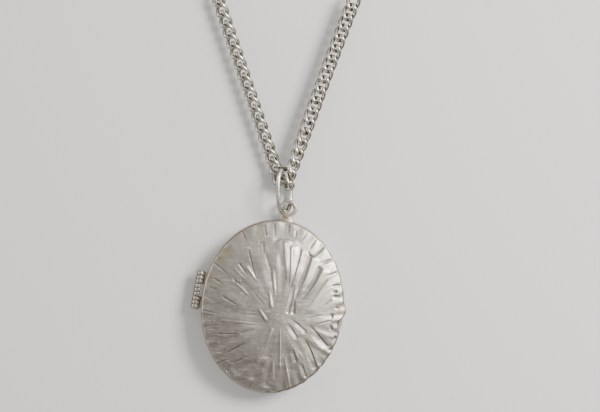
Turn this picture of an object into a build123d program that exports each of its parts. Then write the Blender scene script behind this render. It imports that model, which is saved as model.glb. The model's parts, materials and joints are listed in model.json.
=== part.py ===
"""Oval photo locket on a curb chain.

Frame: the origin is the centre of the back plate's outer face. +X is to the right as seen from the
front, +Z runs up the oval's long axis, and the chased front faces -Y. Depths are measured from the
parting plane of the two halves, and are positive towards the back.
"""

import os
from math import cos, pi, radians, sin

from build123d import *

# ---- Driving dimensions, in mm -------------------------------------------------------------

PLATE_HALF_X, PLATE_HALF_Z = 15.65, 19.0    # back plate, the largest oval of the case
COVER_HALF_X, COVER_HALF_Z = 15.5, 18.85    # edge of the chased front cover
WALL_HALF_X, WALL_HALF_Z = 15.25, 18.6      # outside of both side walls
WALL = 0.5                                  # back side wall
LIP = 0.5                                   # inner lip that the front half closes over
LIP_CLEARANCE = 0.08

PLATE_DEPTH, BACK_DEPTH = 3.3, 2.6          # outside and inside of the back plate
PLATE_OUTER_ROUND, PLATE_INNER_ROUND = 0.25, 0.1
PARTING_GAP = 0.06
LIP_TOP = -1.0
FRONT_WALL_TOP = -2.2                       # where the front wall meets the cover
COVER_CROWN, COVER_SHEET = 4.6, 0.65        # height and thickness of the dome
COVER_SHOULDER = (8.2, -4.2)                # a point on the dome, out from its centre and its depth
COVER_BROW = (14.9, -3.02)                  # where the dome turns over into the rounded edge
COVER_EDGE_MIDDLE = (15.35, -2.82)
COVER_EDGE_DEPTH = -2.5
COVER_INSIDE = (7.4, -3.5)                  # a point on the dome's inside
COVER_SEAT_WIDTH = 1.4                      # flat seat under the cover's edge
LIP_CENTRE, LIP_HALF, LIP_THICKNESS = (13.7, 0.9), (2.4, 2.3), 0.6
NOTCH_CENTRE, NOTCH_HALF = (16.1, -2.35), (1.35, 2.9)

HINGE_TANGENT_Z = 1.65                      # where the hinge touches the oval
HINGE_STANDOFF = 1.0                        # from the cover edge to the hinge axis
HINGE_LEAN = 4.1                            # the axis follows the oval's edge, in degrees
HINGE_LENGTH, KNUCKLE_GAP = 8.15, 0.14
KNUCKLE_RADIUS, PIN_RADIUS, PIN_CLEARANCE = 0.93, 0.40, 0.04
KNUCKLE_GROOVE = 0.12
PIN_HEAD_RADIUS, PIN_HEAD, PIN_HEAD_ROUND = 0.62, 0.2, 0.15
BEARER_NEAR, BEARER_FAR = 0.12, 0.8         # reach of a bearer from the parting plane
BEARER_LENGTH, BEARER_CENTRE = 2.1, -1.25   # across the hinge, measured out from its axis

HOLDER_CLEARANCE, FRAME_BORDER = 0.08, 1.8
CARD, WINDOW, BACK_FRAME, FRONT_FRAME = 0.3, 0.25, 0.6, 0.28

BAIL_X, BAIL_DEPTH, BAIL_Z = 0.97, 0.85, 21.6
BAIL_RADIUS, BAIL_HOLE, BAIL_THICKNESS, BAIL_ROUND = 1.95, 1.15, 0.8, 0.12
BAIL_HOLE_SHIFT = -0.1                      # the hole sits a little left and low in the ring
COLLAR_THICKNESS, COLLAR_FOOT, COLLAR_NECK = 1.0, 3.1, 2.3
COLLAR_SINK, COLLAR_RISE = 0.4, 0.55        # how far it starts under the wall's edge and overlaps the ring

HANG_LEAN = 6.57                            # the chain hangs this far off the oval's long axis
RING_HALF_WIDTH, RING_HALF_HEIGHT, RING_SQUARENESS = 2.68, 4.61, 2.96
RING_WIRE, RING_TURN = 0.92, 60.15          # the ring is turned this far from facing the front
RING_CENTRE = (-0.842, 4.0, 1.113)          # right, up and forward of the bail's centre

LINK_HALF_LENGTH, LINK_HALF_WIDTH, LINK_SQUARENESS = 1.76, 1.16, 2.6
LINK_WIRE, LINK_TWIST, LINK_PITCH = 0.84, 55.0, 2.42
STRAND_LINKS = 18                           # on each side of the centre link
STRAND_HEADING = 71.3                       # each strand's slope above the horizontal
STRAND_UNTWIST = 8.0                        # the roll that each next link on the right gives up
STRAND_SPREAD = 0.15                        # the slope that each next link on the right gives up
# A link's seat: its place right, up and forward of the bail, its heading and its roll, in degrees.
CENTRE_SEAT = ((-0.554, 5.662, 0.397), -39.55, 78.68)
RIGHT_SEAT = ((0.248, 6.497, 1.39), 74.69, 59.9)
LEFT_SEAT = ((-2.253, 7.121, 0.484), -71.48, 41.03)

os.makedirs("parts", exist_ok=True)


def at_depth(depth):
    """The plane across the case at this depth, with its normal to the front and its y axis up."""
    return Plane.XZ.offset(PLATE_DEPTH - depth)


def keep(name, builder):
    """Labels a finished piece and writes it."""
    builder.part.label = name
    export_step(builder.part, f"parts/{name}.step")


# ---- Back half: plate, side wall and inner lip -----------------------------------------------

with BuildPart() as back_plate:
    with BuildSketch(at_depth(PLATE_DEPTH)):
        Ellipse(PLATE_HALF_X, PLATE_HALF_Z)
    extrude(amount=PLATE_DEPTH - BACK_DEPTH)
    fillet(back_plate.edges().group_by(Axis.Y)[-1], radius=PLATE_OUTER_ROUND)
    fillet(back_plate.edges().group_by(Axis.Y)[0], radius=PLATE_INNER_ROUND)
keep("back_plate", back_plate)

with BuildPart() as back_wall:
    with BuildSketch(at_depth(BACK_DEPTH)):
        Ellipse(WALL_HALF_X, WALL_HALF_Z)
        Ellipse(WALL_HALF_X - WALL, WALL_HALF_Z - WALL, mode=Mode.SUBTRACT)
    extrude(amount=BACK_DEPTH)
keep("back_wall", back_wall)

with BuildPart() as inner_lip:
    with BuildSketch(at_depth(BACK_DEPTH)):
        Ellipse(WALL_HALF_X - WALL, WALL_HALF_Z - WALL)
        Ellipse(WALL_HALF_X - WALL - LIP, WALL_HALF_Z - WALL - LIP, mode=Mode.SUBTRACT)
    extrude(amount=BACK_DEPTH - LIP_TOP)
    fillet(inner_lip.edges().group_by(Axis.Y)[0], radius=0.12)
keep("inner_lip", inner_lip)

# ---- Front half: side wall and chased cover --------------------------------------------------

wall_inside_x = WALL_HALF_X - WALL + LIP_CLEARANCE
wall_inside_z = WALL_HALF_Z - WALL + LIP_CLEARANCE
with BuildPart() as front_wall:
    with BuildSketch(at_depth(-PARTING_GAP)):
        Ellipse(WALL_HALF_X, WALL_HALF_Z)
        Ellipse(wall_inside_x, wall_inside_z, mode=Mode.SUBTRACT)
    extrude(amount=-FRONT_WALL_TOP - PARTING_GAP)
keep("front_wall", front_wall)

# The dome is a round dish, stretched along Z into the oval.
with BuildPart() as front_cover:
    with BuildSketch(Plane.XY.shift_origin((0, -PLATE_DEPTH, 0))):
        with BuildLine():
            crown, inner_crown = (0, -COVER_CROWN), (0, -COVER_CROWN + COVER_SHEET)
            edge = (COVER_HALF_X, COVER_EDGE_DEPTH)
            seat_edge = (COVER_HALF_X - COVER_SEAT_WIDTH, FRONT_WALL_TOP)
            Polyline(inner_crown, crown)
            ThreePointArc(crown, COVER_SHOULDER, COVER_BROW)
            ThreePointArc(COVER_BROW, COVER_EDGE_MIDDLE, edge)
            Polyline(edge, (COVER_HALF_X, FRONT_WALL_TOP), seat_edge)
            ThreePointArc(seat_edge, COVER_INSIDE, inner_crown)
        make_face()
    revolve(axis=Axis.Y)
    scale(by=(1, 1, COVER_HALF_Z / COVER_HALF_X))
    # The thumb lip stands proud of the edge, and a nail notch is cut below it.
    with BuildSketch(at_depth(FRONT_WALL_TOP)):
        with Locations(LIP_CENTRE):
            Ellipse(*LIP_HALF)
        Ellipse(COVER_HALF_X - 1.0, COVER_HALF_Z - 1.0, mode=Mode.SUBTRACT)
    extrude(amount=LIP_THICKNESS)
    with BuildSketch(at_depth(0)):
        with Locations(NOTCH_CENTRE):
            Ellipse(*NOTCH_HALF)
        with Locations(LIP_CENTRE):
            Ellipse(*LIP_HALF, mode=Mode.SUBTRACT)
    extrude(amount=COVER_CROWN, mode=Mode.SUBTRACT)
keep("front_cover", front_cover)

# ---- Hinge -------------------------------------------------------------------------------------

hinge_up = Vector(sin(radians(HINGE_LEAN)), 0, cos(radians(HINGE_LEAN)))
hinge_out = Vector(-cos(radians(HINGE_LEAN)), 0, sin(radians(HINGE_LEAN)))
tangent_x = -PLATE_HALF_X * (1 - (HINGE_TANGENT_Z / PLATE_HALF_Z) ** 2) ** 0.5
hinge_centre = Vector(tangent_x, -PLATE_DEPTH, HINGE_TANGENT_Z) + hinge_out * HINGE_STANDOFF
hinge = Plane(origin=hinge_centre, x_dir=hinge_out, z_dir=hinge_up)      # y axis to the front
knuckle_length = (HINGE_LENGTH - 2 * KNUCKLE_GAP) / 3
knuckle_step = knuckle_length + KNUCKLE_GAP


def knuckle(name, step, bore):
    """One tube of the hinge, with two turned grooves that leave three ribs."""
    base = step * knuckle_step - knuckle_length / 2
    with BuildPart() as tube:
        with BuildSketch(hinge.offset(base)):
            Circle(KNUCKLE_RADIUS)
            Circle(bore, mode=Mode.SUBTRACT)
        extrude(amount=knuckle_length)
        for share in (1 / 3, 2 / 3):
            with BuildSketch(hinge.offset(base + share * knuckle_length - KNUCKLE_GROOVE)):
                Circle(KNUCKLE_RADIUS + 0.2)
                Circle(KNUCKLE_RADIUS - KNUCKLE_GROOVE, mode=Mode.SUBTRACT)
            extrude(amount=2 * KNUCKLE_GROOVE, mode=Mode.SUBTRACT)
    keep(name, tube)


knuckle("hinge_knuckle_lower", -1, PIN_RADIUS)
knuckle("hinge_knuckle_middle", 0, PIN_RADIUS + PIN_CLEARANCE)
knuckle("hinge_knuckle_upper", 1, PIN_RADIUS)

hinge_axis = Axis(hinge_centre, hinge_up)
with BuildPart() as hinge_pin:
    with BuildSketch(hinge.offset(-HINGE_LENGTH / 2 - PIN_HEAD)):
        Circle(PIN_RADIUS)
    extrude(amount=HINGE_LENGTH + 2 * PIN_HEAD)
    for base in (-HINGE_LENGTH / 2 - PIN_HEAD, HINGE_LENGTH / 2):
        with BuildSketch(hinge.offset(base)):
            Circle(PIN_HEAD_RADIUS)
        extrude(amount=PIN_HEAD)
    fillet(hinge_pin.faces().sort_by(hinge_axis)[-1].edges(), radius=PIN_HEAD_ROUND)
    fillet(hinge_pin.faces().sort_by(hinge_axis)[0].edges(), radius=PIN_HEAD_ROUND)
keep("hinge_pin", hinge_pin)


def bearer(name, step, side):
    """The strip that joins one knuckle to its side wall: side 1 is the front half, -1 the back."""
    with BuildPart() as strip:
        with BuildSketch(hinge.offset(step * knuckle_step - knuckle_length / 2)):
            with Locations((BEARER_CENTRE, side * (BEARER_NEAR + BEARER_FAR) / 2)):
                Rectangle(BEARER_LENGTH, BEARER_FAR - BEARER_NEAR)
        extrude(amount=knuckle_length)
        with BuildSketch(at_depth(BACK_DEPTH)):
            Ellipse(WALL_HALF_X, WALL_HALF_Z)
        extrude(amount=2 * BACK_DEPTH, mode=Mode.SUBTRACT)
        with BuildSketch(hinge.offset(-HINGE_LENGTH)):
            Circle(KNUCKLE_RADIUS)
        extrude(amount=2 * HINGE_LENGTH, mode=Mode.SUBTRACT)
    keep(name, strip)


bearer("hinge_bearer_lower", -1, -1)
bearer("hinge_bearer_middle", 0, 1)
bearer("hinge_bearer_upper", 1, -1)

# ---- Picture holders: a card, a clear window and an oval frame in each half --------------------


def oval_plate(name, half_x, half_z, depth, thickness, border=0.0):
    """A flat oval whose back face is at this depth, or an open frame of this border."""
    with BuildPart() as plate:
        with BuildSketch(at_depth(depth)):
            Ellipse(half_x, half_z)
            if border:
                Ellipse(half_x - border, half_z - border, mode=Mode.SUBTRACT)
        extrude(amount=thickness)
    keep(name, plate)


back_x = WALL_HALF_X - WALL - LIP - HOLDER_CLEARANCE
back_z = WALL_HALF_Z - WALL - LIP - HOLDER_CLEARANCE
oval_plate("back_photo_card", back_x, back_z, BACK_DEPTH, CARD)
oval_plate("back_window", back_x, back_z, BACK_DEPTH - CARD, WINDOW)
oval_plate("back_photo_frame", back_x, back_z, BACK_DEPTH - CARD - WINDOW, BACK_FRAME, FRAME_BORDER)

front_x = wall_inside_x - HOLDER_CLEARANCE
front_z = wall_inside_z - HOLDER_CLEARANCE
front_frame_depth = LIP_TOP - LIP_CLEARANCE
front_window_depth = front_frame_depth - FRONT_FRAME
front_card_depth = front_window_depth - WINDOW
oval_plate("front_photo_frame", front_x, front_z, front_frame_depth, FRONT_FRAME, FRAME_BORDER)
oval_plate("front_window", front_x, front_z, front_window_depth, WINDOW)
oval_plate("front_photo_card", front_x, front_z, front_card_depth, CARD)

# ---- Bail: a flat-faced ring on a solder collar --------------------------------------------------

with BuildPart() as bail_ring:
    with BuildSketch(at_depth(BAIL_DEPTH + BAIL_THICKNESS / 2)):
        with Locations((BAIL_X, BAIL_Z)):
            Circle(BAIL_RADIUS)
        with Locations((BAIL_X + BAIL_HOLE_SHIFT, BAIL_Z + BAIL_HOLE_SHIFT)):
            Circle(BAIL_HOLE, mode=Mode.SUBTRACT)
    extrude(amount=BAIL_THICKNESS)
    fillet(bail_ring.edges(), radius=BAIL_ROUND)
keep("bail_ring", bail_ring)

with BuildPart() as bail_collar:
    with BuildSketch(at_depth(BAIL_DEPTH + COLLAR_THICKNESS / 2)):
        with BuildLine():
            foot_z, neck_z = WALL_HALF_Z - COLLAR_SINK, BAIL_Z - BAIL_RADIUS + COLLAR_RISE
            Polyline(
                (BAIL_X - COLLAR_FOOT / 2, foot_z),
                (BAIL_X + COLLAR_FOOT / 2, foot_z),
                (BAIL_X + COLLAR_NECK / 2, neck_z),
                (BAIL_X - COLLAR_NECK / 2, neck_z),
                close=True,
            )
        make_face()
    extrude(amount=COLLAR_THICKNESS)
    with BuildSketch(at_depth(BACK_DEPTH)):
        Ellipse(WALL_HALF_X, WALL_HALF_Z)
        with Locations((BAIL_X, BAIL_Z)):
            Circle(BAIL_RADIUS)
    extrude(amount=2 * BACK_DEPTH, mode=Mode.SUBTRACT)
keep("bail_collar", bail_collar)

# ---- Jump ring and chain -------------------------------------------------------------------------

lean = radians(HANG_LEAN)
bail_centre = (BAIL_X, BAIL_DEPTH - PLATE_DEPTH, BAIL_Z)
hang = Plane(origin=bail_centre, x_dir=(cos(lean), 0, sin(lean)), z_dir=(0, -1, 0))


def rounded(value, power):
    """Raises the size of a signed value to a power and keeps its sign."""
    return abs(value) ** power * (1 if value >= 0 else -1)


def wire_half(seat, points, wire):
    """Sweeps round wire through points given on a seat: one half of a closed loop."""
    with BuildLine(seat) as centre:
        Spline(*points)
    path = centre.line
    with BuildSketch(Plane(origin=path @ 0, z_dir=path % 0)) as section:
        Circle(wire / 2)
    sweep(sections=section.sketch, path=path)


def loop_point(half_width, half_height, squareness, angle):
    """A point of an oval that is squarer than an ellipse, with the angle from its short axis."""
    power = 2 / squareness
    return half_width * rounded(cos(angle), power), half_height * rounded(sin(angle), power)


def half_turn(steps):
    """Angles that step evenly from 0 to half a turn."""
    return [pi * step / steps for step in range(steps + 1)]


def ring_points():
    """Half of the jump ring's wire, from its foot up one side to its top."""
    for angle in half_turn(22):
        x, y = loop_point(RING_HALF_WIDTH, RING_HALF_HEIGHT, RING_SQUARENESS, angle - pi / 2)
        yield (x, y, 0)


ring_seat = Plane(hang.location * Pos(*RING_CENTRE) * Rot(0, RING_TURN, 0))
with BuildPart() as jump_ring:
    for turn in (0, 180):
        wire_half(Plane(ring_seat.location * Rot(0, turn, 0)), list(ring_points()), RING_WIRE)
keep("jump_ring", jump_ring)


def link_points():
    """Half of a curb link's wire: an oval loop twisted about its own length."""
    for angle in half_turn(12):
        x, across = loop_point(LINK_HALF_LENGTH, LINK_HALF_WIDTH, LINK_SQUARENESS, angle)
        twist = -radians(LINK_TWIST) * x / LINK_HALF_LENGTH
        yield (x, across * cos(twist), across * sin(twist))


def chain_link(name, place, heading, roll):
    """One link, at a place on the hanging plane, with its length along heading."""
    seat = Plane(hang.location * Pos(*place) * Rot(0, 0, heading) * Rot(roll, 0, 0))
    with BuildPart() as link:
        for turn in (0, 180):
            wire_half(Plane(seat.location * Rot(turn, 0, 0)), list(link_points()), LINK_WIRE)
    keep(name, link)


def strand(side, first_seat, away, untwist, spread):
    """One side of the chain, link by link up from the centre: away is 1 along the heading, -1 against."""
    (x, y, forward), heading, roll = first_seat
    for number in range(1, STRAND_LINKS + 1):
        chain_link(f"chain_{side}_{number:02d}", (x, y, forward), heading, roll)
        next_heading = away * (STRAND_HEADING - spread * number)
        for half_step in (heading, next_heading):
            x += away * LINK_PITCH / 2 * cos(radians(half_step))
            y += away * LINK_PITCH / 2 * sin(radians(half_step))
        heading, roll = next_heading, max(roll - untwist, 0)


chain_link("chain_centre", *CENTRE_SEAT)
strand("right", RIGHT_SEAT, 1, STRAND_UNTWIST, STRAND_SPREAD)
strand("left", LEFT_SEAT, -1, 0, 0)
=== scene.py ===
"""Looks for the oval locket: the chased front, silver, solder, acetate and card, light and camera.

The pieces are worked out in millimetres, and the floor, the lights and the camera in metres. The frame
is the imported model's: x right, z up the oval's long axis, and the chased front faces -y.
"""
import json
import math

import bpy
import numpy as np
from mathutils import Matrix, Vector


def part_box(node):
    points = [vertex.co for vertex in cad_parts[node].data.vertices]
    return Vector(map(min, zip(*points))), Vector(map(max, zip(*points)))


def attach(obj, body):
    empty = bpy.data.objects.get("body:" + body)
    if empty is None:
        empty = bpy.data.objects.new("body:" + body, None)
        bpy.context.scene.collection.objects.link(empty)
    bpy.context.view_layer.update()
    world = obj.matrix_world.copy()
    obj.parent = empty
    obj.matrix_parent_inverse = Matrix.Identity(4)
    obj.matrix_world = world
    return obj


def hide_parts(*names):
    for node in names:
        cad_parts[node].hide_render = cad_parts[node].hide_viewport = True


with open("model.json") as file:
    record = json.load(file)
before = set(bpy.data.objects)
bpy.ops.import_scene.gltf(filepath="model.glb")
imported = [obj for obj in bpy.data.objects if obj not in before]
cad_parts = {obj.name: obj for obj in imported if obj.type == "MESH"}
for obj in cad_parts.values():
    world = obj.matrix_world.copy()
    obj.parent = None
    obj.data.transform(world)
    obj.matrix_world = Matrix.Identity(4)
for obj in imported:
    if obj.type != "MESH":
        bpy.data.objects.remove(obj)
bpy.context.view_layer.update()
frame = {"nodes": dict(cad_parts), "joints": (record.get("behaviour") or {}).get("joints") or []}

MM = 0.001

# ---- The chased front: its shape ---------------------------------------------------------------

cover_low, cover_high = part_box("front_cover")
COVER_HALF_X = -cover_low.x / MM
COVER_HALF_Z = cover_high.z / MM
CROWN_Y, SEAT_Y = cover_low.y / MM, cover_high.y / MM
COVER_SHEET = 0.65
DOME_SAG, DOME_FALL = 5.44e-3, 7.55e-6      # the dome drops by sag q2 + fall q4, q from the crown
INNER_SAG, INNER_EDGE = 8.8e-3, 14.1        # its inside drops by sag q2, as far as the flat seat
CHASING_ROOM = 0.12                         # the dome starts this far inside its box, so the chasing fits
EDGE_LIFT = 0.12                            # the outside stays this far clear of the seat
EDGE_ROUND = 0.42

PAD_X, PAD_Z = 1.96, -2.40                  # plain pad that the chasing runs out from
PAD_RADIUS, PAD_BLEND = 1.1, 0.8
LIP = ((13.7, 0.9), (2.4, 2.3))             # centre and half sizes of the thumb lip
NOTCH = ((16.1, -2.35), (1.35, 2.9))        # and of the nail notch below it
EDGE_INSET = 0.05
EDGE_WAVES = ((0.05, 31, 0.6), (0.04, 47, 2.0), (0.03, 19, 0.0))    # size, waves round the edge and phase
HINGE_SIDE_WAVES = 0.25                     # share of the waves at the left edge, which is worked less
RIM_BAND, RIM_WEAR = 1.9, 1.6               # how far in from the edge the beaten flats and the wear reach

SECTORS, RINGS, EDGE_RINGS, INNER_RINGS = 900, 150, 6, 12           # how finely the mesh is cut
RING_CROWDING = 0.85                        # below 1, so that rings lie closer together near the edge

# ---- The chased front: its strokes -------------------------------------------------------------

STEP_REACH = 1.3                            # how far a step's two levels carry on to its sides
CLIFF = 0.3                                 # width of a panel's steep side
ROOF_FOOT, ROOF_ROUND = 1.05, 0.2           # where a roof's slopes end, in widths, and how blunt its top is
BITE = {"roof": 1, "panel": 0.3, "step": 6}     # how far a stroke takes to reach its height, in widths
SHORTEST_BITE = 0.2
RUN_OUT, PATH_END = 0.55, 1.05              # share of a path over which its stroke fades, and where it ends
WIDE_END, NARROWING = 1.05, 0.5             # a roof starts at this share of its width and loses this much


class Tool:
    """One chasing punch: its half width and height in mm (below zero cuts in), and how much it darkens its
    line, with oxide in a cut and painted shade in a flute, pit, shelf or panel.
    """

    def __init__(self, width, height, patina=0.0, kind="roof"):
        self.width, self.height = width, height
        self.patina, self.kind = patina, kind

    def profile(self, side, width):
        """Share of the height at a distance off the stroke: a roof, a step, or a panel that tilts away."""
        if self.kind == "step":
            return np.tanh(side / width) * np.exp(-np.abs(side) / STEP_REACH)
        if self.kind == "panel":
            return smooth_step(0.5 - side / CLIFF) * np.maximum(0, 1 - np.maximum(-side, 0) / width)
        return np.maximum(0, ROOF_FOOT - np.hypot(side / width, ROOF_ROUND))


# The last number darkens the colour along a stroke's line: oxide in the narrow cuts, lines and scores, and
# painted shade in the flutes, hollows, pits, shelves and panels, where the steep sides of the relief fall
# into shadow.
CUT = Tool(0.34, -0.12, patina=0.92)
SCORE = Tool(0.3, -0.07, patina=0.65)
FLUTE = Tool(0.55, -0.2, patina=0.55)
HOLLOW = Tool(1.3, -0.2, patina=0.15)
RIDGE = Tool(0.5, 0.13)
HAIR = Tool(0.35, 0.06)
SHELF = Tool(0.22, 0.15, patina=0.4, kind="step")
PANEL = Tool(1.9, 0.3, patina=0.5, kind="panel")
SLANT = Tool(1.5, -0.24, patina=0.75, kind="panel")
NARROW = Tool(0.9, -0.17, patina=0.6, kind="panel")
LEDGE = Tool(0.45, 0.12, kind="panel")
LINE = Tool(0.3, -0.05, patina=0.95)
PIT = Tool(0.5, -0.18, patina=0.92)

# Strokes as paths of (degrees clockwise from up, millimetres from the pad), from the end where the
# punch bites to the end where it runs out.
STROKES = (
    # upper left
    (LINE, (330, 20.8), (330, 18.0)),
    (LINE, (329, 16.5), (326, 13.0), (321, 9.3)),
    (LINE, (344, 20.6), (344, 17.3)),
    (SCORE, (338, 17.1), (343, 16.9)),
    (LINE, (341, 16.7), (339, 14.1)),
    (CUT, (304, 18.8), (304, 14.6)),
    (CUT, (295, 16.8), (295, 14.3)),
    (SCORE, (288, 16.9), (288, 14.2)),
    (CUT, (285, 13.4), (281, 9.6)),
    (SCORE, (280, 16.7), (280, 14.3)),
    (CUT, (317, 14.9), (317, 11.8)),
    (RIDGE, (321, 13.6), (322, 9.4)),
    (HAIR, (311, 14.8), (312, 11.0)),
    (CUT, (304, 13.3), (304, 10.8)),
    (RIDGE, (303, 12.6), (300, 8.0)),
    (RIDGE, (345, 10.6), (341, 4.8)),
    (RIDGE, (317, 3.2), (333, 6.5)),
    (RIDGE, (257, 3.0), (291, 5.3)),
    # rim, from the top round to the thumb lip
    (LINE, (350, 20.6), (350, 17.6)),
    (LINE, (359, 20.5), (359, 18.3)),
    (SCORE, (4, 19.5), (4, 17.5)),
    (LINE, (11, 19.7), (8, 17.1)),
    (CUT, (18, 18.8), (16, 16.1)),
    (CUT, (25, 18.3), (21, 15.3)),
    (FLUTE, (35, 17.1), (29, 14.6)),
    (CUT, (44, 16.0), (40, 13.5)),
    (FLUTE, (54, 15.0), (51, 13.0)),
    (SCORE, (57, 13.7), (62, 11.9)),
    (SHELF, (350, 16.8), (354, 17.3), (0, 17.4), (5, 17.2), (11, 16.6)),
    (CUT, (16, 15.8), (19, 15.2), (22, 15.4), (24, 16.7), (26, 18.2)),
    (PIT, (57, 12.8), (58, 14.0)),
    (FLUTE, (61, 12.4), (64, 14.2)),
    (CUT, (72, 12.2), (74, 13.1)),
    (PIT, (78, 11.3), (84, 11.2)),
    (PIT, (91, 11.1), (97, 11.5)),
    (PIT, (101, 12.6), (105, 12.7)),
    (PIT, (117, 12.8), (113, 12.9)),
    # upper right
    (PANEL, (356, 16.8), (358, 12.4), (4, 8.2)),
    (PANEL, (2, 16.0), (5, 11.3), (9, 7.2)),
    (HAIR, (6, 15.6), (7, 11.0)),
    (PANEL, (11, 15.7), (12, 12.2), (13, 7.3)),
    (PANEL, (21, 15.2), (25, 11.0), (27, 8.0), (33, 5.4)),
    (FLUTE, (19, 15.2), (22, 10.9), (24, 7.7), (29, 5.6)),
    (PANEL, (34, 14.4), (38, 11.2), (40, 9.0), (43, 6.0)),
    (FLUTE, (31, 14.2), (35, 11.0), (37, 8.7), (40, 6.0)),
    (SCORE, (44, 13.5), (51, 9.2), (67, 5.5)),
    (SCORE, (63, 12.0), (68, 9.7)),
    (NARROW, (52, 2.2), (26, 4.9), (18, 7.9)),
    (FLUTE, (62, 3.0), (31, 5.4)),
    # lower right
    (LEDGE, (173, 10.8), (169, 1.6)),
    (LEDGE, (165, 15.3), (166, 7.9)),
    (NARROW, (130, 5.6), (106, 1.8)),
    (NARROW, (108, 6.3), (84, 2.7)),
    (SLANT, (113, 11.8), (105, 8.9), (94, 6.6)),
    (SLANT, (136, 13.4), (130, 10.1), (121, 6.9)),
    (NARROW, (152, 9.9), (150, 7.1)),
    (HAIR, (148, 7.3), (149, 10.0)),
    (NARROW, (149, 13.9), (147, 10.4)),
    (SCORE, (78, 9.2), (82, 5.3)),
    (SCORE, (85, 11.2), (93, 7.8)),
    # lower left
    (SCORE, (270, 16.9), (268, 13.4)),
    (SCORE, (258, 16.6), (258, 13.1)),
    (CUT, (250, 13.8), (244, 9.4)),
    (SCORE, (249, 16.4), (249, 14.2)),
    (CUT, (231, 13.6), (229, 9.0)),
    (CUT, (228, 16.6), (226, 14.3)),
    (SCORE, (220, 14.0), (215, 10.8)),
    (PIT, (218, 16.2), (220, 15.4)),
    (HOLLOW, (215, 15.2), (207, 11.3)),
    (HOLLOW, (198, 14.6), (194, 8.8)),
    (HOLLOW, (186, 15.1), (184, 10.0)),
    (SCORE, (198, 16.4), (196, 14.8)),
    (RIDGE, (214, 2.6), (203, 7.0)),
    (LEDGE, (179, 13.6), (183, 8.9)),
    (HAIR, (262, 12.5), (242, 3.6)),
)
# Tarnish spots: x, z and size.
STAINS = ((-11.3, 10.6, 1.3), (-12.8, 9.2, 0.9), (-13.8, 5.4, 0.8), (-6.1, 16.8, 0.35), (14.4, 0.4, 1.3))


def smooth_step(value):
    """Eases a value from 0 to 1."""
    value = np.clip(value, 0, 1)
    return value * value * (3 - 2 * value)


def ray_hits(sines, cosines, centre, half_sizes):
    """Near and far distances from the pad to an ellipse in each direction; not a number where it misses."""
    (x, z), (a, b) = centre, half_sizes
    px, pz = (PAD_X - x) / a, (PAD_Z - z) / b
    dx, dz = sines / a, cosines / b
    square, half, rest = dx**2 + dz**2, px * dx + pz * dz, px**2 + pz**2 - 1
    with np.errstate(invalid="ignore"):
        root = np.sqrt(half**2 - square * rest)
    near, far = (-half - root) / square, (-half + root) / square
    return np.where(near > 0, near, np.nan), np.where(far > 0, far, np.nan)


def outline(angles):
    """Distance from the pad to the cover's edge in each direction, with the hand-worked unevenness."""
    sines, cosines = np.sin(angles), np.cos(angles)
    reach = ray_hits(sines, cosines, (0, 0), (COVER_HALF_X, COVER_HALF_Z))[1]
    notch, lip = ray_hits(sines, cosines, *NOTCH)[0], ray_hits(sines, cosines, *LIP)[1]
    reach = np.fmax(np.fmin(reach, notch), lip)
    # The corners at the lip and the notch are eased, by three passes that average ever wider neighbours.
    for shift in (1, 2, 4):
        reach = (np.roll(reach, shift) + 2 * reach + np.roll(reach, -shift)) / 4
    waves = sum(size * np.sin(count * angles + phase) for size, count, phase in EDGE_WAVES)
    right_side = smooth_step((sines + 0.2) / 0.6)
    return reach - EDGE_INSET + waves * (HINGE_SIDE_WAVES + (1 - HINGE_SIDE_WAVES) * right_side)


def along_path(x, z, path):
    """Share of the way along a path, signed distance off it (right is positive), and its length."""
    best, share, side = np.full(x.shape, np.inf), np.zeros(x.shape), np.zeros(x.shape)
    corners = [(r * math.sin(math.radians(a)), r * math.cos(math.radians(a))) for a, r in path]
    lengths = [math.dist(p, q) for p, q in zip(corners, corners[1:])]
    walked = 0.0
    for (ax, az), (bx, bz), length in zip(corners, corners[1:], lengths):
        ux, uz = (bx - ax) / length, (bz - az) / length
        forward = (x - ax) * ux + (z - az) * uz
        across = (x - ax) * uz - (z - az) * ux
        gap = np.hypot(across, np.maximum(0, np.maximum(-forward, forward - length)))
        nearer = gap < best
        best = np.where(nearer, gap, best)
        share = np.where(nearer, (walked + forward) / sum(lengths), share)
        side = np.where(nearer, across, side)
        walked += length
    return share, side, sum(lengths)


def chase(x, z):
    """Height (outward) of the chasing at points measured from the pad, and how dark it lies there: oxide in
    the cuts, painted shade along the flutes, pits and panels.
    """
    height, patina = np.zeros(x.shape), np.zeros(x.shape)
    for tool, *path in STROKES:
        share, side, length = along_path(x, z, path)
        bite = SHORTEST_BITE + BITE[tool.kind] * tool.width
        fade = smooth_step((share * length + 0.4 * bite) / bite) * smooth_step((PATH_END - share) / RUN_OUT)
        taper = WIDE_END - NARROWING * np.clip(share, 0, 1) if tool.kind == "roof" else 1
        height += tool.height * tool.profile(side, tool.width * taper) * fade
        patina_width = 0.4 * min(tool.width, 0.6) + 0.05
        patina = np.maximum(patina, tool.patina * np.exp(-((side / patina_width) ** 2)) * np.sqrt(fade))
    return height, patina


def ripple(x, z, wavelength, count, seed):
    """Smooth unevenness of about unit size, from waves that run in every direction."""
    random = np.random.default_rng(seed)
    total = np.zeros(x.shape)
    for _ in range(count):
        heading, phase = random.uniform(0, 2 * math.pi, 2)
        k = 2 * math.pi / (wavelength * random.uniform(0.7, 1.4))
        total += np.sin(k * (x * math.cos(heading) + z * math.sin(heading)) + phase)
    return total / math.sqrt(count)


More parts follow.
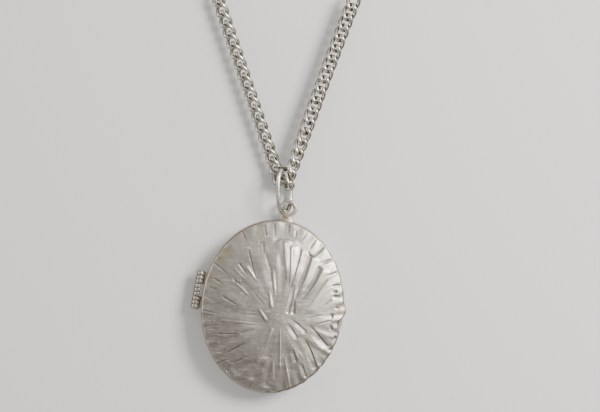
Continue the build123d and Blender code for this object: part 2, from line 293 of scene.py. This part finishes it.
def hand_marks(x, z, count=64):
    """Shallow strokes between the chased ones, where the punch only skimmed the sheet."""
    random = np.random.default_rng(7)
    height = np.zeros(x.shape)
    for number in range(count):
        angle = number * 360 / count + random.uniform(-2, 2)
        start = random.uniform(4, 12)
        end = start + random.uniform(2.5, 5)
        share, side, _ = along_path(x, z, ((angle, start), (angle + random.uniform(-3, 3), end)))
        width = random.uniform(0.25, 0.6)
        fade = smooth_step((share + 0.15) / 0.3) * smooth_step((1.15 - share) / 0.3)
        height += random.uniform(-0.045, 0.03) * np.exp(-((side / width) ** 2)) * fade
    return height


def fans(angles, radius):
    """Low folds that spread from the pad, strongest 11 mm out."""
    return 0.04 * np.sin(19 * angles + 2.4 * np.sin(3 * angles)) * np.exp(-(((radius - 11) / 4) ** 2))


def rim_flats(angles, edge_distance):
    """Flats beaten round the rim, strongest at the edge."""
    band = np.exp(-((edge_distance / RIM_BAND) ** 2))
    return 0.05 * band * (np.sin(43 * angles + 1.0) + 0.6 * np.sin(27 * angles + 0.4))


def stains(x, z):
    """How much tarnish lies at a place."""
    return sum(np.exp(-((x - sx) ** 2 + (z - sz) ** 2) / size**2) for sx, sz, size in STAINS)


# ---- Meshes ------------------------------------------------------------------------------------


def make_object(name, points, faces, sharp=60):
    """A mesh object from points in millimetres, smooth up to edges of this many degrees."""
    mesh = bpy.data.meshes.new(name)
    mesh.from_pydata((points * MM).tolist(), [], faces)
    mesh.shade_smooth()
    made = bpy.data.objects.new(name, mesh)
    bpy.context.scene.collection.objects.link(made)
    mesh.set_sharp_from_angle(angle=math.radians(sharp))
    return made


def stand_in(made, body, node):
    """Puts a piece on its body, in the place of a CAD node."""
    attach(made, body)
    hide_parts(node)
    return made


def paint(made, name, values):
    """Keeps a value per vertex for a material to read."""
    made.data.attributes.new(name, "FLOAT", "POINT").data.foreach_set("value", values.astype(np.float32))


def box_in_mm(node):
    """The low corner, the high corner and the middle of a CAD node's box."""
    low, high = (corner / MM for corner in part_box(node))
    return low, high, (low + high) / 2


def full_circle(steps):
    """Angles for this many even steps round a circle."""
    return np.arange(steps) * 2 * math.pi / steps


def ring_numbers(rings):
    """The vertex numbers of each ring, for rings that follow one another."""
    around = len(rings[0])
    return [np.arange(around) + around * i for i in range(len(rings))]


def ring_faces(first, second):
    """Quads between two rings of vertex numbers."""
    return np.stack([first, np.roll(first, -1), np.roll(second, -1), second], axis=1).tolist()


def cap_faces(tip, ring):
    """Triangles from one vertex to a ring of vertex numbers."""
    return [(tip, int(a), int(b)) for a, b in zip(np.roll(ring, 1), ring)]


def dome_distance(x, z):
    """Distance from the crown, with the oval drawn in to a circle as wide as the cover."""
    return np.hypot(x / COVER_HALF_X, z / COVER_HALF_Z) * COVER_HALF_X


def outside_radii(reach):
    """Each outside ring's distance from the pad, and its drop where the dome turns over into the edge."""
    shares = (np.arange(1, RINGS + 1) / RINGS) ** RING_CROWDING
    radii = [share * (reach - EDGE_ROUND) for share in shares]
    drops = [np.zeros(SECTORS)] * RINGS
    for step in range(1, EDGE_RINGS + 1):
        turn = step / EDGE_RINGS * math.pi / 2
        radii.append(reach - EDGE_ROUND * (1 - math.sin(turn)))
        drops.append(np.full(SECTORS, EDGE_ROUND * (1 - math.cos(turn))))
    return np.array(radii), np.array(drops)


def inside_rings(reach, sines, cosines):
    """Rings over the flat seat and up into the dome's inside."""
    rings = []
    for share in (1, INNER_EDGE / COVER_HALF_X, *np.linspace(0.85, 0.04, INNER_RINGS)):
        x, z = share * reach * sines + PAD_X, share * reach * cosines + PAD_Z
        q = dome_distance(x, z)
        y = np.minimum(CROWN_Y + COVER_SHEET + INNER_SAG * q**2, SEAT_Y)
        y = np.where(q >= INNER_EDGE, SEAT_Y, y)
        rings.append(np.stack([x, y, z], axis=1))
    return rings


def make_chased_front():
    """The front sheet, as rings round the pad: the chased outside, the edge, the seat and the inside."""
    angles = full_circle(SECTORS)
    sines, cosines = np.sin(angles), np.cos(angles)
    reach = outline(angles)
    radius, drop = outside_radii(reach)
    edge_distance = reach - radius
    x, z = radius * sines, radius * cosines

    chasing, patina = chase(x, z)
    relief = (chasing + hand_marks(x, z)) * smooth_step((radius - PAD_RADIUS) / PAD_BLEND)
    relief += 0.035 * ripple(x, z, wavelength=7.0, count=14, seed=3)
    relief += 0.005 * ripple(x, z, wavelength=1.8, count=24, seed=5)
    relief += fans(angles, radius) + rim_flats(angles, edge_distance)
    q = dome_distance(x + PAD_X, z + PAD_Z)
    y = CROWN_Y + CHASING_ROOM + DOME_SAG * q**2 + DOME_FALL * q**4 + drop - relief
    y = np.minimum(y, SEAT_Y - EDGE_LIFT)

    rings = list(np.stack([x + PAD_X, y, z + PAD_Z], axis=2)) + inside_rings(reach, sines, cosines)
    tips = [np.array([[PAD_X, ring[:, 1].mean(), PAD_Z]]) for ring in (rings[0], rings[-1])]
    points = np.concatenate([tips[0], *rings, tips[1]])
    numbers = [1 + ring for ring in ring_numbers(rings)]
    faces = [face for pair in zip(numbers, numbers[1:]) for face in ring_faces(*pair)]
    faces += [face[::-1] for face in cap_faces(0, numbers[0])]
    faces += cap_faces(len(points) - 1, numbers[-1])

    made = make_object("chased_front", points, faces)
    # Values for the material: the darkening along the strokes (oxide in the cuts, painted shade along the
    # flutes, pits and panels), the tarnish spots, and the tarnished rim.
    rim = smooth_step(1 - edge_distance / RIM_WEAR)
    for name, values in (("patina", patina), ("stain", stains(x + PAD_X, z + PAD_Z)), ("rim", rim)):
        plain = np.zeros(len(points) - values.size - 1)
        paint(made, name, np.concatenate([[0], values.ravel(), plain]))
    return made


NECK_X, NECK_Y = 0.78, 0.7                  # the solder's neck, as shares of its foot
FLARE_FOOT, FLARE_EASE = 0.25, 0.35         # how high the foot stays full, and over what height it draws in


def make_solder_fillet(steps=14, around=40):
    """Solder that flows from the bail's ring out over the wall's edge, in place of the plain collar."""
    low, high, middle = box_in_mm("bail_collar")
    turns = full_circle(around)
    rings = []
    for step in range(steps + 1):
        rise = step / steps
        flare = 1 - smooth_step((rise - FLARE_FOOT) / FLARE_EASE)
        half_x = (high.x - low.x) / 2 * (NECK_X + (1 - NECK_X) * flare)
        half_y = (high.y - low.y) / 2 * (NECK_Y + (1 - NECK_Y) * flare)
        lumps = (1 + 0.04 * np.sin(3 * turns + 7 * rise)) / 1.04
        rings.append(np.stack([middle.x + half_x * np.cos(turns) * lumps,
                               middle.y + half_y * np.sin(turns) * lumps,
                               np.full(around, low.z + rise * (high.z - low.z))], axis=1))
    numbers = ring_numbers(rings)
    faces = [numbers[0][::-1].tolist(), numbers[-1].tolist()]
    for first, second in zip(numbers, numbers[1:]):
        faces += ring_faces(first, second)
    return make_object("solder_fillet", np.concatenate(rings), faces)


def make_turned_loop(name, rings):
    """A closed ring or tube from cross sections that follow each other round a loop."""
    numbers = ring_numbers(rings)
    faces = []
    for first, second in zip(numbers, numbers[1:] + numbers[:1]):
        faces += ring_faces(first, second)
    return make_object(name, np.concatenate(rings), faces, sharp=50)


PIN_BORE = 0.44
RIBS, RIB_DEPTH = 3, 0.15
RIB_STEPS = (-1, -0.93, -0.8, -0.55, 0, 0.55, 0.8, 0.93, 1)     # closest where a rib turns in


def make_ribbed_knuckle(which, axis, around=56):
    """A hinge knuckle with rounded ribs."""
    low, high, centre = box_in_mm(f"hinge_knuckle_{which}")
    radius = (high.y - low.y) / 2
    length = (high.z - low.z - 2 * radius * abs(axis.x)) / abs(axis.z)
    turns = full_circle(around)
    across, back = np.cross(axis, (0, 1, 0)), np.array((0, 1, 0))
    spokes = np.cos(turns)[:, None] * across + np.sin(turns)[:, None] * back
    profile = [(-length / 2, PIN_BORE)]
    for rib in range(RIBS):
        for u in RIB_STEPS:
            profile.append((length * ((rib + (u + 1) / 2) / RIBS - 0.5), radius - RIB_DEPTH * abs(u) ** 7))
    profile.append((length / 2, PIN_BORE))
    rings = [np.array(centre) + along * np.array(axis) + reach * spokes for along, reach in profile]
    return make_turned_loop(f"ribbed_knuckle_{which}", rings)


BAIL_HOLE, BAIL_HOLE_SHIFT = 1.15, -0.1     # the hole's radius, and how far it sits off centre
BAIL_SQUARENESS = 0.55                      # 1 makes the section an ellipse, and 0 a rectangle


def make_bail_loop(around=72, section=24):
    """The bail's ring. Its flat faces turn softly into the edges, and its hole sits a little off centre."""
    low, high, centre = box_in_mm("bail_ring")
    outer, half_depth = (high.x - low.x) / 2, (high.y - low.y) / 2
    turns = full_circle(around)
    inner = BAIL_HOLE + BAIL_HOLE_SHIFT * (np.cos(turns) + np.sin(turns))
    rings = []
    for turn in full_circle(section):
        out, back = (math.copysign(abs(v) ** BAIL_SQUARENESS, v) for v in (math.cos(turn), math.sin(turn)))
        radius = (outer + inner) / 2 + (outer - inner) / 2 * out
        rings.append(np.stack([centre.x + radius * np.cos(turns),
                               np.full(around, centre.y + half_depth * back),
                               centre.z + radius * np.sin(turns)], axis=1))
    return make_turned_loop("bail_loop", rings)


def make_pane(node, gap=0.03, around=160):
    """A thin oval pane in the place of a window, a hair clear of the card behind it."""
    low, high, centre = box_in_mm(node)
    half = (high - low) / 2 - Vector((gap, gap, gap))
    turns = full_circle(around)
    rings = [np.stack([centre.x + half.x * np.cos(turns), np.full(around, centre.y + side * half.y),
                       centre.z + half.z * np.sin(turns)], axis=1) for side in (-1, 1)]
    front, back = ring_numbers(rings)
    faces = [front.tolist(), back[::-1].tolist()] + ring_faces(back, front)
    return make_object(node.replace("window", "pane"), np.concatenate(rings), faces, sharp=40)


chased_front = stand_in(make_chased_front(), "front_half", "front_cover")

hinge_axis = -Vector(next(joint["axis"] for joint in frame["joints"] if joint["name"] == "cover_hinge"))
fittings = []
for which, body in (("upper", "back_case"), ("middle", "front_half"), ("lower", "back_case")):
    knuckle = make_ribbed_knuckle(which, hinge_axis)
    fittings.append(stand_in(knuckle, body, f"hinge_knuckle_{which}"))
fittings.append(stand_in(make_bail_loop(), "back_case", "bail_ring"))

solder_fillet = stand_in(make_solder_fillet(), "back_case", "bail_collar")
panes = [stand_in(make_pane(node), body, node)
         for node, body in (("back_window", "back_case"), ("front_window", "front_half"))]

# ---- Materials ---------------------------------------------------------------------------------


class Nodes:
    """Short calls for building the nodes of a material or a world."""

    def __init__(self, owner, output):
        owner.use_nodes = True
        self.owner, self.tree = owner, owner.node_tree
        self.tree.nodes.clear()
        self.output = self.add(output)

    def add(self, kind, **settings):
        node = self.tree.nodes.new(kind)
        for key, value in settings.items():
            setattr(node, key, value)
        return node

    def join(self, output, socket):
        self.tree.links.new(output, socket)

    def feed(self, socket, value):
        """Sets a socket, or joins it if the value comes from another node."""
        if isinstance(value, bpy.types.NodeSocket):
            self.join(value, socket)
        else:
            socket.default_value = value

    def show(self, shader):
        """Makes this shader the one that is seen."""
        self.join(shader, self.output.inputs["Surface"])
        return self.owner

    def math(self, operation, a, b=0.0, clamp=False):
        node = self.add("ShaderNodeMath", operation=operation, use_clamp=clamp)
        self.feed(node.inputs[0], a)
        self.feed(node.inputs[1], b)
        return node.outputs[0]

    def dot(self, a, b):
        node = self.add("ShaderNodeVectorMath", operation="DOT_PRODUCT")
        self.feed(node.inputs[0], a)
        self.feed(node.inputs[1], b)
        return node.outputs["Value"]

    def noise(self, scale, detail=4.0, roughness=0.55, stretch=None, turn=(0, 0, 0)):
        """Noise by place in millimetres. A stretched one runs in streaks."""
        millimetres = self.add("ShaderNodeVectorMath", operation="SCALE")
        self.join(self.add("ShaderNodeTexCoord").outputs["Object"], millimetres.inputs[0])
        millimetres.inputs["Scale"].default_value = 1 / MM
        place = millimetres.outputs[0]
        if stretch:
            mapping = self.add("ShaderNodeMapping")
            mapping.inputs["Rotation"].default_value = [math.radians(a) for a in turn]
            mapping.inputs["Scale"].default_value = stretch
            self.join(place, mapping.inputs["Vector"])
            place = mapping.outputs[0]
        node = self.add("ShaderNodeTexNoise")
        node.inputs["Scale"].default_value = scale
        node.inputs["Detail"].default_value = detail
        node.inputs["Roughness"].default_value = roughness
        self.join(place, node.inputs["Vector"])
        return node.outputs[0]

    def spread(self, value, low, high, to_low=0.0, to_high=1.0):
        node = self.add("ShaderNodeMapRange")
        self.feed(node.inputs["Value"], value)
        for key, number in (("From Min", low), ("From Max", high), ("To Min", to_low), ("To Max", to_high)):
            node.inputs[key].default_value = number
        return node.outputs[0]

    def mix(self, share, a, b):
        """Mixes two colours."""
        node = self.add("ShaderNodeMix", data_type="RGBA")
        self.feed(node.inputs[0], share)
        self.feed(node.inputs[6], (*a, 1) if isinstance(a, tuple) else a)
        self.feed(node.inputs[7], (*b, 1) if isinstance(b, tuple) else b)
        return node.outputs[2]

    def choose(self, share, a, b):
        """Mixes two numbers."""
        node = self.add("ShaderNodeMix", data_type="FLOAT")
        self.feed(node.inputs[0], share)
        self.feed(node.inputs[2], a)
        self.feed(node.inputs[3], b)
        return node.outputs[0]

    def blend(self, share, a, b):
        """Mixes two shaders."""
        node = self.add("ShaderNodeMixShader")
        for socket, value in zip(node.inputs, (share, a, b)):
            self.join(value, socket)
        return node.outputs[0]

    def attribute(self, name):
        return self.add("ShaderNodeAttribute", attribute_name=name).outputs["Fac"]

    def bump(self, height, distance, normal=None):
        node = self.add("ShaderNodeBump")
        node.inputs["Distance"].default_value = distance * MM
        self.join(height, node.inputs["Height"])
        if normal is not None:
            self.join(normal, node.inputs["Normal"])
        return node.outputs[0]

    def shader(self, kind, **inputs):
        node = self.add(kind)
        for key, value in inputs.items():
            self.feed(node.inputs[key.replace("_", " ")], value)
        return node.outputs[0]


def material_nodes(name):
    return Nodes(bpy.data.materials.new(name), "ShaderNodeOutputMaterial")


# Near black for the oxide in the cuts and hollows. It also serves as painted shade in the flutes and pits,
# and in the hollows that occlusion finds.
OXIDE_AND_SHADE = (0.055, 0.045, 0.036)
TARNISH = (0.50, 0.40, 0.25)


def scratches(nodes, turns, reach=0.25, fineness=9.0):
    """Hair scratches that run in several directions, 0 off them and 1 on them."""
    total = 0.0
    for turn in turns:
        streaks = nodes.noise(1.0, 3.0, 0.6, stretch=(reach, reach, fineness), turn=(turn * 0.3, turn, 0))
        total = nodes.math("ADD", total, nodes.spread(streaks, 0.62, 0.74), clamp=True)
    return total


def in_hollows(nodes, reach):
    """How deep a place lies between surfaces nearer than this many millimetres, as darkness for the
    hollows: partly oxide, partly painted shade.
    """
    shade = nodes.add("ShaderNodeAmbientOcclusion", samples=6)
    shade.inputs["Distance"].default_value = reach * MM
    return nodes.spread(shade.outputs["AO"], 0.75, 0.25, 0.0, 0.85)


def soft_edges(nodes, radius):
    """A normal that rounds the edges by this many millimetres, and how worn each place is by that."""
    bevel = nodes.add("ShaderNodeBevel", samples=4)
    bevel.inputs["Radius"].default_value = radius * MM
    normal = bevel.outputs[0]
    straight = nodes.dot(normal, nodes.add("ShaderNodeNewGeometry").outputs["Normal"])
    return normal, nodes.spread(straight, 0.98, 0.8, 0.0, 0.5)


def silver(name, light, dark, roughness, occlusion=0.0, softened=0.0, scratch=0.012, grain=0.006):
    """Worn silver: cloudy colour, oxide and painted shade in hollows, bright worn edges, hair scratches and
    fine grain.
    """
    nodes = material_nodes(name)
    cloud = nodes.spread(nodes.noise(0.35, 6.0), 0.35, 0.65)
    mottle = nodes.spread(nodes.noise(1.7, 8.0, 0.6), 0.3, 0.7)
    colour = nodes.mix(nodes.math("MULTIPLY", nodes.math("ADD", cloud, mottle), 0.5), light, dark)

    # Darkening: oxide and painted shade along the strokes. Where occlusion is set, ambient occlusion also
    # paints shade into the hollows, along with oxide.
    oxide_and_shade = nodes.math("MULTIPLY", nodes.attribute("patina"), nodes.spread(mottle, 0, 1, 0.6, 1.0))
    if occlusion:
        oxide_and_shade = nodes.math("ADD", oxide_and_shade, in_hollows(nodes, occlusion), clamp=True)
    colour = nodes.mix(nodes.math("MINIMUM", oxide_and_shade, 0.92), colour, OXIDE_AND_SHADE)

    patches = nodes.spread(nodes.noise(0.8, 5.0), 0.45, 0.7, 0.05, 0.5)
    rim = nodes.math("MULTIPLY", nodes.attribute("rim"), patches)
    stain = nodes.math("MULTIPLY", nodes.attribute("stain"), nodes.spread(mottle, 0, 1, 0.35, 0.9))
    colour = nodes.mix(nodes.math("ADD", rim, stain, clamp=True), colour, TARNISH)

    normal = None
    if softened:
        normal, worn = soft_edges(nodes, softened)
        colour = nodes.mix(worn, colour, tuple(min(1, 1.15 * c) for c in light))

    rough = nodes.spread(nodes.noise(2.3, 7.0, 0.6), 0.3, 0.7, roughness - 0.06, roughness + 0.08)
    rough = nodes.math("ADD", rough, nodes.math("MULTIPLY", oxide_and_shade, 0.15), clamp=True)
    lines = scratches(nodes, (15, -38, 74, 118))
    normal = nodes.bump(nodes.math("SUBTRACT", 1.0, lines), scratch, normal)
    normal = nodes.bump(nodes.noise(11.0, 6.0, 0.65), grain, normal)
    return nodes.show(nodes.shader("ShaderNodeBsdfPrincipled", Base_Color=colour, Metallic=1.0,
                                   Roughness=rough, Normal=normal))


def acetate():
    """Thin clear acetate, a little yellowed: mostly clear, with the room on its face."""
    nodes = material_nodes("clear_acetate")
    lines = scratches(nodes, (25, -60), 0.2, 12.0)
    normal = nodes.bump(nodes.math("SUBTRACT", 1.0, lines), 0.004)
    rough = nodes.spread(nodes.noise(0.6, 5.0), 0.3, 0.7, 0.04, 0.14)
    clear = nodes.shader("ShaderNodeBsdfTransparent", Color=(0.985, 0.98, 0.95, 1))
    gloss = nodes.shader("ShaderNodeBsdfGlossy", Roughness=rough, Normal=normal)
    facing = nodes.add("ShaderNodeLayerWeight").outputs["Facing"]
    glance = nodes.spread(nodes.math("POWER", facing, 5.0), 0, 1, 0.038, 1.0)
    return nodes.show(nodes.blend(glance, clear, gloss))


def card():
    """Cream card with fibres and a little foxing."""
    nodes = material_nodes("card")
    fibres = nodes.noise(1.0, 6.0, 0.7, stretch=(0.9, 0.9, 7.0), turn=(0, 40, 0))
    foxing = nodes.spread(nodes.noise(0.4, 5.0, 0.6), 0.58, 0.8, 0.0, 0.5)
    colour = nodes.mix(nodes.spread(fibres, 0.35, 0.65), (0.80, 0.75, 0.63), (0.70, 0.64, 0.51))
    colour = nodes.mix(foxing, colour, (0.52, 0.38, 0.22))
    normal = nodes.bump(nodes.noise(5.0, 7.0, 0.7), 0.02)
    return nodes.show(nodes.shader("ShaderNodeBsdfPrincipled", Base_Color=colour, Roughness=0.85,
                                   Normal=normal))


def dress(objects, material):
    """Gives objects one material."""
    for made in objects:
        made.data.materials.clear()
        made.data.materials.append(material)


def dress_cad(starts, material, sharp=32):
    """Gives a material, and smooth shading up to this angle, to the CAD nodes whose names start so."""
    made = [node for name, node in sorted(frame["nodes"].items()) if name.startswith(starts)]
    dress(made, material)
    for node in made:
        node.data.shade_smooth()
        node.data.set_sharp_from_angle(angle=math.radians(sharp))


# Each silver's light and dark colour.
SATIN = (0.71, 0.66, 0.59), (0.56, 0.515, 0.45)
BRIGHT = (0.86, 0.81, 0.73), (0.68, 0.63, 0.55)
DULL = (0.66, 0.61, 0.54), (0.50, 0.46, 0.39)
SOLDER = (0.58, 0.51, 0.38), (0.44, 0.37, 0.25)
POLISHED = {"scratch": 0.005, "grain": 0.002}

dress([chased_front], silver("chased_silver", *SATIN, 0.35))
# An occlusion reach paints shade, with oxide, between the chain's links, in the hinge's grooves, and round
# the rings and the solder.
dress(fittings, silver("fitting_silver", *DULL, 0.33, occlusion=0.45, grain=0.003))
dress([solder_fillet], silver("solder", *SOLDER, 0.40, occlusion=0.5))
dress(panes, acetate())
dress_cad(("back_plate", "back_wall", "front_wall", "inner_lip"),
          silver("case_silver", *SATIN, 0.36, softened=0.12))
dress_cad(("hinge_bearer", "hinge_pin"),
          silver("hinge_silver", *BRIGHT, 0.34, occlusion=0.5, softened=0.08))
dress_cad(("back_photo_frame", "front_photo_frame"), silver("bright_silver", *BRIGHT, 0.26, softened=0.08))
dress_cad(("jump_ring",), silver("ring_silver", *BRIGHT, 0.24, occlusion=0.5, **POLISHED))
dress_cad(("chain_",), silver("chain_silver", *BRIGHT, 0.25, occlusion=0.6, **POLISHED))
dress_cad(("back_photo_card", "front_photo_card"), card())

# ---- Floor, light and camera -------------------------------------------------------------------

HANG_LEAN = math.radians(6.57)              # the chain hangs this far off the oval's long axis
PICTURE_RIGHT = Vector((math.cos(HANG_LEAN), 0, math.sin(HANG_LEAN)))
PICTURE_UP = Vector((-math.sin(HANG_LEAN), 0, math.cos(HANG_LEAN)))
TO_VIEWER = Vector((0, -1, 0))
# What the camera aims at, how wide it sees there, and how far off it is.
AIM_RIGHT, AIM_UP, VIEW_WIDTH, DISTANCE = 6.0 * MM, 21.9 * MM, 132.2 * MM, 0.45
FLOOR_HALF_SIZE, FLOOR_GAP = 0.6, 0.05 * MM


def make_floor():
    """The surface the locket lies on. It isn't seen from behind, so the back can be looked at too."""
    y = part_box("back_plate")[1].y + FLOOR_GAP
    size = FLOOR_HALF_SIZE
    corners = [(-size, y, -size), (size, y, -size), (size, y, size), (-size, y, size)]
    mesh = bpy.data.meshes.new("floor")
    mesh.from_pydata(corners, [], [(0, 1, 2, 3)])
    floor = bpy.data.objects.new("floor", mesh)
    bpy.context.scene.collection.objects.link(floor)

    nodes = material_nodes("floor")
    camera_place = nodes.add("ShaderNodeVectorTransform", vector_type="POINT", convert_from="CAMERA",
                             convert_to="WORLD")
    camera_place.inputs[0].default_value = (0, 0, 0)
    split = nodes.add("ShaderNodeSeparateXYZ")
    nodes.join(camera_place.outputs[0], split.inputs[0])
    behind = nodes.math("GREATER_THAN", split.outputs["Y"], y)
    # Silver shows its edges best against something dark, so the floor is dark to reflections alone.
    reflected = nodes.add("ShaderNodeLightPath").outputs["Is Glossy Ray"]
    pale = nodes.shader("ShaderNodeBsdfDiffuse", Color=(0.86, 0.855, 0.84, 1))
    dark = nodes.shader("ShaderNodeBsdfDiffuse", Color=(0.13, 0.125, 0.115, 1))
    clear = nodes.shader("ShaderNodeBsdfTransparent")
    floor.data.materials.append(nodes.show(nodes.blend(behind, nodes.blend(reflected, pale, dark), clear)))


def add_area(name, right, up, forward, size, watts, colour=(1, 1, 1)):
    """A soft square light, placed from the middle of the case in metres and aimed at it."""
    light = bpy.data.lights.new(name, "AREA")
    light.size, light.energy, light.color = size, watts, colour
    made = bpy.data.objects.new(name, light)
    made.location = right * PICTURE_RIGHT + up * PICTURE_UP + forward * TO_VIEWER
    made.rotation_mode = "QUATERNION"
    made.rotation_quaternion = (-made.location).to_track_quat("-Z", "Y")
    bpy.context.scene.collection.objects.link(made)


# Light panels that the silver reflects: the direction to a panel's middle, the cosine at its edge, and
# its strength there and in its middle.
ROOM_PANELS = (
    ((0.55, -0.45, 0.6), 0.0, 0.03, 0.95),
    ((-0.9, -0.3, 0.25), 0.66, 0.0, 0.6),
    ((-0.85, -0.35, -0.4), 0.78, 0.0, 0.55),
    ((-0.2, -0.35, -0.9), 0.85, 0.0, 0.9),
    ((0.35, 0.8, 0.5), 0.1, 0.0, 0.75),
)
SOFT_ROOM, PALE_GROUND = 0.6, 0.85          # strength to matt surfaces, and to the camera


def make_world():
    """Pale to the camera; to the silver, a soft room that is lightest above and to the right."""
    world = bpy.data.worlds.new("studio")
    bpy.context.scene.world = world
    nodes = Nodes(world, "ShaderNodeOutputWorld")
    direction = nodes.add("ShaderNodeTexCoord").outputs["Generated"]
    room = 0.0
    for towards, edge, low, high in ROOM_PANELS:
        nearness = nodes.dot(direction, Vector(towards).normalized())
        room = nodes.math("ADD", room, nodes.spread(nearness, edge, 1.0, low, high))
    path = nodes.add("ShaderNodeLightPath")
    strength = nodes.choose(path.outputs["Is Glossy Ray"], SOFT_ROOM, room)
    strength = nodes.choose(path.outputs["Is Camera Ray"], strength, PALE_GROUND)
    nodes.show(nodes.shader("ShaderNodeBackground", Color=(1.0, 0.985, 0.96, 1), Strength=strength))


def make_camera():
    """Looks straight at the front, turned so that the hanging chain is upright."""
    lens = bpy.data.cameras.new("camera")
    camera = bpy.data.objects.new("camera", lens)
    place = AIM_RIGHT * PICTURE_RIGHT + AIM_UP * PICTURE_UP + DISTANCE * TO_VIEWER
    turn = Matrix((PICTURE_RIGHT, PICTURE_UP, TO_VIEWER)).transposed()
    camera.matrix_world = Matrix.Translation(place) @ turn.to_4x4()
    lens.lens = lens.sensor_width * DISTANCE / VIEW_WIDTH
    lens.clip_start, lens.clip_end = 0.01, 10
    bpy.context.scene.collection.objects.link(camera)
    bpy.context.scene.camera = camera


make_floor()
make_world()
add_area("key", right=0.29, up=0.16, forward=0.34, size=0.17, watts=2.9, colour=(1.0, 0.98, 0.95))
add_area("side", right=-0.34, up=0.12, forward=0.08, size=0.16, watts=0.2)
add_area("rear", right=0.15, up=0.25, forward=-0.35, size=0.30, watts=1.2)
make_camera()
